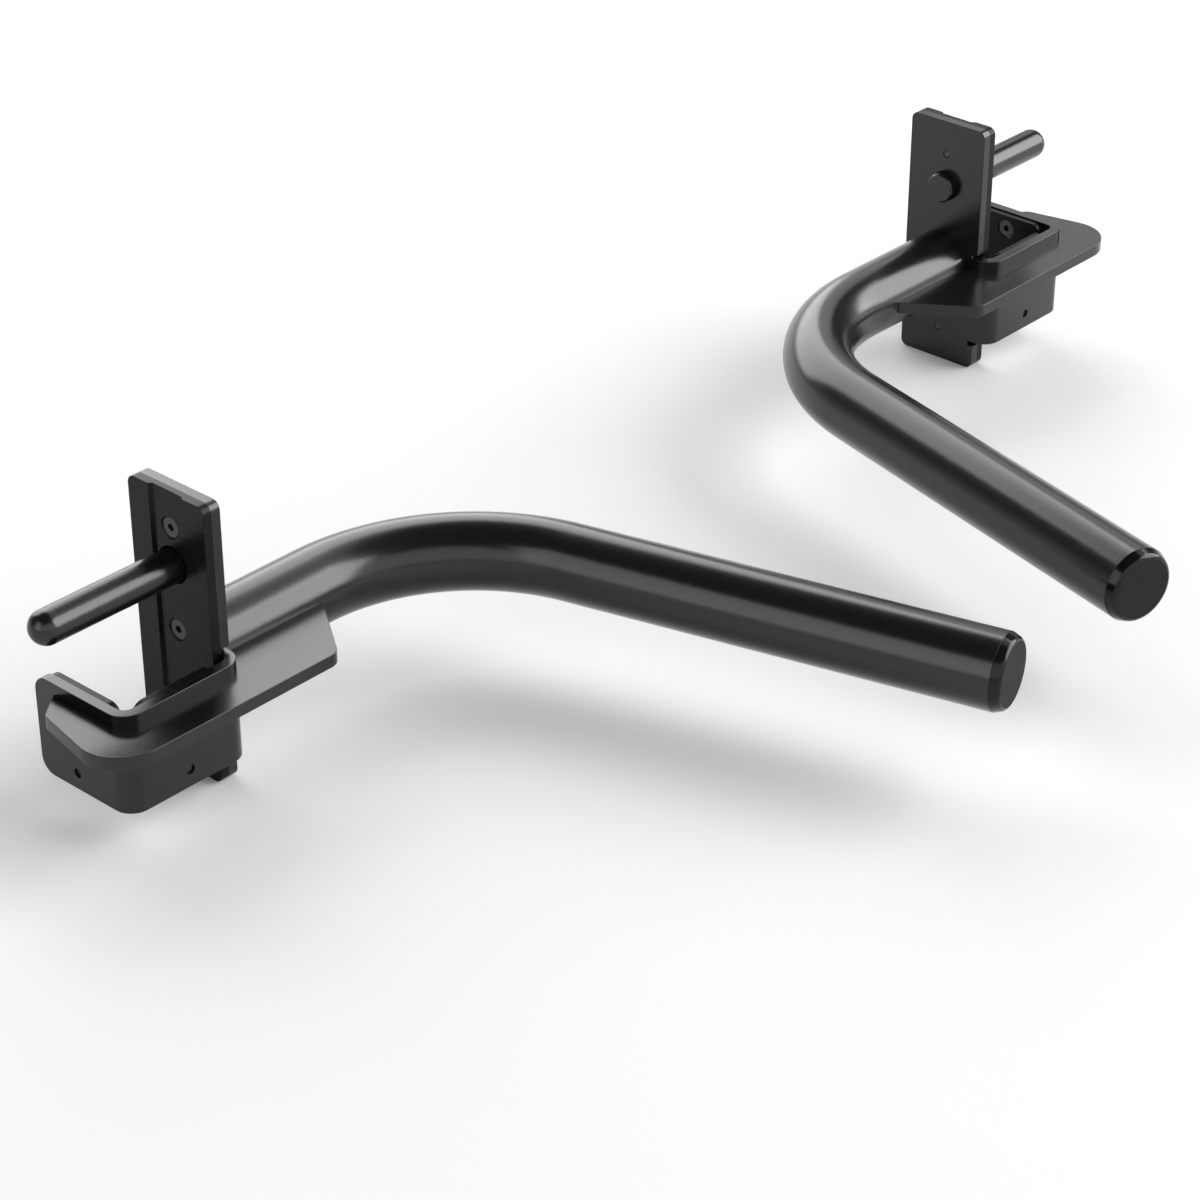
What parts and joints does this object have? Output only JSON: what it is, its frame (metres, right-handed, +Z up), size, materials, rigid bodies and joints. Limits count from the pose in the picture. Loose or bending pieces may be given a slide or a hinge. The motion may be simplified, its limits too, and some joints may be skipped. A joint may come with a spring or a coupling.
{
  "type": "dip station",
  "caption": "Bent-tube dip handles, left and right, on hooked and lined steel brackets with rack pins, for the uprights of a power rack.",
  "frame": {"origin": "on the left rack pin's axis, in the plane of the left face liner's outer face", "axes": "+X from the left handle to the right one, along the rack pins; +Y to the back, away from the grips; +Z up"},
  "size_m": [1.1226, 0.4804, 0.2155],
  "materials": {
    "coated_steel": "black powder coat, semi-gloss",
    "liner_plastic": "black slippery plastic, satin",
    "cap_plastic": "black moulded plastic, fine texture",
    "screw_steel": "black oxide"
  },
  "bodies": {
    "left_handle": {"left_mounting_plate": "coated_steel", "left_gusset": "coated_steel", "left_rack_pin": "coated_steel", "left_dip_bar": "coated_steel", "left_end_cap": "cap_plastic", "left_face_liner": "liner_plastic", "left_side_liner": "liner_plastic", "left_back_liner": "liner_plastic", "left_face_liner_screws": "screw_steel", "left_side_liner_screws": "screw_steel", "left_back_liner_screws": "screw_steel"},
    "right_handle": {"right_mounting_plate": "coated_steel", "right_gusset": "coated_steel", "right_rack_pin": "coated_steel", "right_dip_bar": "coated_steel", "right_end_cap": "cap_plastic", "right_face_liner": "liner_plastic", "right_side_liner": "liner_plastic", "right_back_liner": "liner_plastic", "right_face_liner_screws": "screw_steel", "right_side_liner_screws": "screw_steel", "right_back_liner_screws": "screw_steel"}
  },
  "joints": [
    {"name": "rack_spacing", "type": "slide", "parent": "left_handle", "child": "right_handle", "axis": [1, 0, 0], "range_m": [0, 0.25]}
  ]
}
